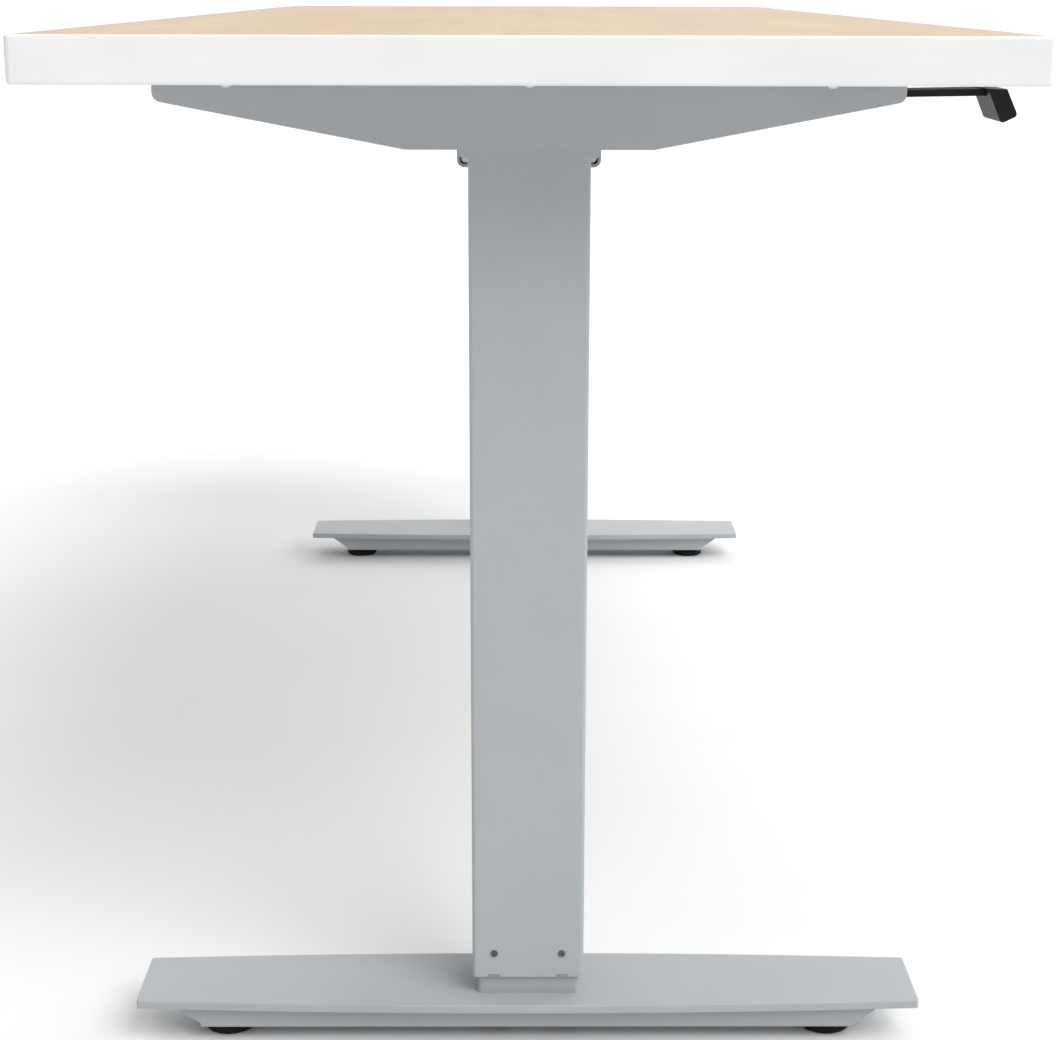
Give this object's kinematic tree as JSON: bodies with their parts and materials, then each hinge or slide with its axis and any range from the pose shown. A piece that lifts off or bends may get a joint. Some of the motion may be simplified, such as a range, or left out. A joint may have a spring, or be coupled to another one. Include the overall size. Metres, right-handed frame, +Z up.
{
  "type": "height adjustable standing desk",
  "caption": "Electric sit-stand desk with a rectangular laminate top on two telescoping column legs with T-feet and an under-edge paddle control.",
  "frame": {"origin": "on the floor under the middle of the desktop, at the lowest height", "axes": "+X along the desk to the user's right, -Y towards the user, +Z up"},
  "size_m": [1.524, 0.6172, 0.705],
  "materials": {
    "particle_board": "pressed chips",
    "maple_laminate": "satin high-pressure laminate",
    "backer_sheet": "matt backing sheet",
    "white_edge": "satin",
    "frame_paint": "satin powder coat",
    "black_nylon": "moulded",
    "grey_nylon": "moulded",
    "white_nylon": "moulded",
    "black_steel": "black oxide",
    "zinc_steel": "zinc plated",
    "bright_steel": "turned",
    "cast_alloy": "as cast",
    "motor_can": "black enamel",
    "black_plastic": "fine texture",
    "black_gloss_plastic": "smooth",
    "circuit_board": "board and components",
    "lead_jacket": "PVC jacket"
  },
  "bodies": {
    "left_leg": {"left_foot_plate": "frame_paint", "left_foot_channel": "frame_paint", "left_inner_tube": "frame_paint", "left_upper_glides": "white_nylon", "left_spindle_nut": "white_nylon", "left_foot_bolts": "zinc_steel", "left_weld_nuts": "zinc_steel"},
    "right_leg": {"right_foot_plate": "frame_paint", "right_foot_channel": "frame_paint", "right_inner_tube": "frame_paint", "right_upper_glides": "white_nylon", "right_spindle_nut": "white_nylon", "right_foot_bolts": "zinc_steel", "right_weld_nuts": "zinc_steel"},
    "left_screw": {"left_spindle": "bright_steel"},
    "left_front_foot": {"left_front_leveler": "black_nylon"},
    "left_rear_foot": {"left_rear_leveler": "black_nylon"},
    "right_screw": {"right_spindle": "bright_steel"},
    "right_front_foot": {"right_front_leveler": "black_nylon"},
    "right_rear_foot": {"right_rear_leveler": "black_nylon"},
    "paddle": {"paddle_lever": "black_plastic", "paddle_grip": "black_plastic"},
    "top": {"desktop_core": "particle_board", "desktop_laminate": "maple_laminate", "desktop_backer": "backer_sheet", "edge_band": "white_edge", "crossbar": "frame_paint", "crossbar_spacers": "white_nylon", "rail_bolts": "black_steel", "arm_screws": "zinc_steel", "glide_screws": "zinc_steel", "ear_screws": "black_steel", "control_box_base": "black_plastic", "control_box_lid": "black_plastic", "control_board": "circuit_board", "mains_inlet": "black_gloss_plastic", "paddle_housing": "black_plastic", "paddle_pin": "bright_steel", "paddle_spring": "bright_steel", "paddle_switches": "black_gloss_plastic", "paddle_lead": "lead_jacket", "lead_clips": "black_nylon", "left_arm": "frame_paint", "left_end_rail": "frame_paint", "left_outer_tube": "frame_paint", "left_lower_glides": "grey_nylon", "left_spindle_bearing": "bright_steel", "left_gearbox": "cast_alloy", "left_motor": "motor_can", "left_head_bolts": "black_steel", "left_motor_lead": "lead_jacket", "right_arm": "frame_paint", "right_end_rail": "frame_paint", "right_outer_tube": "frame_paint", "right_lower_glides": "grey_nylon", "right_spindle_bearing": "bright_steel", "right_gearbox": "cast_alloy", "right_motor": "motor_can", "right_head_bolts": "black_steel", "right_motor_lead": "lead_jacket"}
  },
  "joints": [
    {"name": "left_lift", "type": "slide", "parent": "left_leg", "child": "top", "axis": [0, 0, 1], "range_m": [0, 0.45]},
    {"name": "right_lift", "type": "slide", "parent": "top", "child": "right_leg", "axis": [0, 0, -1], "range_m": [0, 0.45]},
    {"name": "left_screw_turn", "type": "hinge", "parent": "top", "child": "left_screw", "pos_m": [-0.6285, 0, 0.6], "axis": [0, 0, 1], "range_deg": [0, 10125]},
    {"name": "right_screw_turn", "type": "hinge", "parent": "top", "child": "right_screw", "pos_m": [0.6285, 0, 0.6], "axis": [0, 0, 1], "range_deg": [0, 10125]},
    {"name": "paddle_tip", "type": "hinge", "parent": "top", "child": "paddle", "pos_m": [-0.618, -0.195, 0.665], "axis": [1, 0, 0], "range_deg": [-3, 3], "stiffness_Nm_per_rad": 12},
    {"name": "left_front_level", "type": "slide", "parent": "left_leg", "child": "left_front_foot", "axis": [0, 0, -1], "range_m": [0, 0.008]},
    {"name": "left_rear_level", "type": "slide", "parent": "left_leg", "child": "left_rear_foot", "axis": [0, 0, -1], "range_m": [0, 0.008]},
    {"name": "right_front_level", "type": "slide", "parent": "right_leg", "child": "right_front_foot", "axis": [0, 0, -1], "range_m": [0, 0.008]},
    {"name": "right_rear_level", "type": "slide", "parent": "right_leg", "child": "right_rear_foot", "axis": [0, 0, -1], "range_m": [0, 0.008]}
  ],
  "couplings": [
    {"joint": "right_lift", "follows": "left_lift", "ratio": 1},
    {"joint": "left_screw_turn", "follows": "left_lift", "rad_per_m": 392.7},
    {"joint": "right_screw_turn", "follows": "left_lift", "rad_per_m": 392.7}
  ]
}
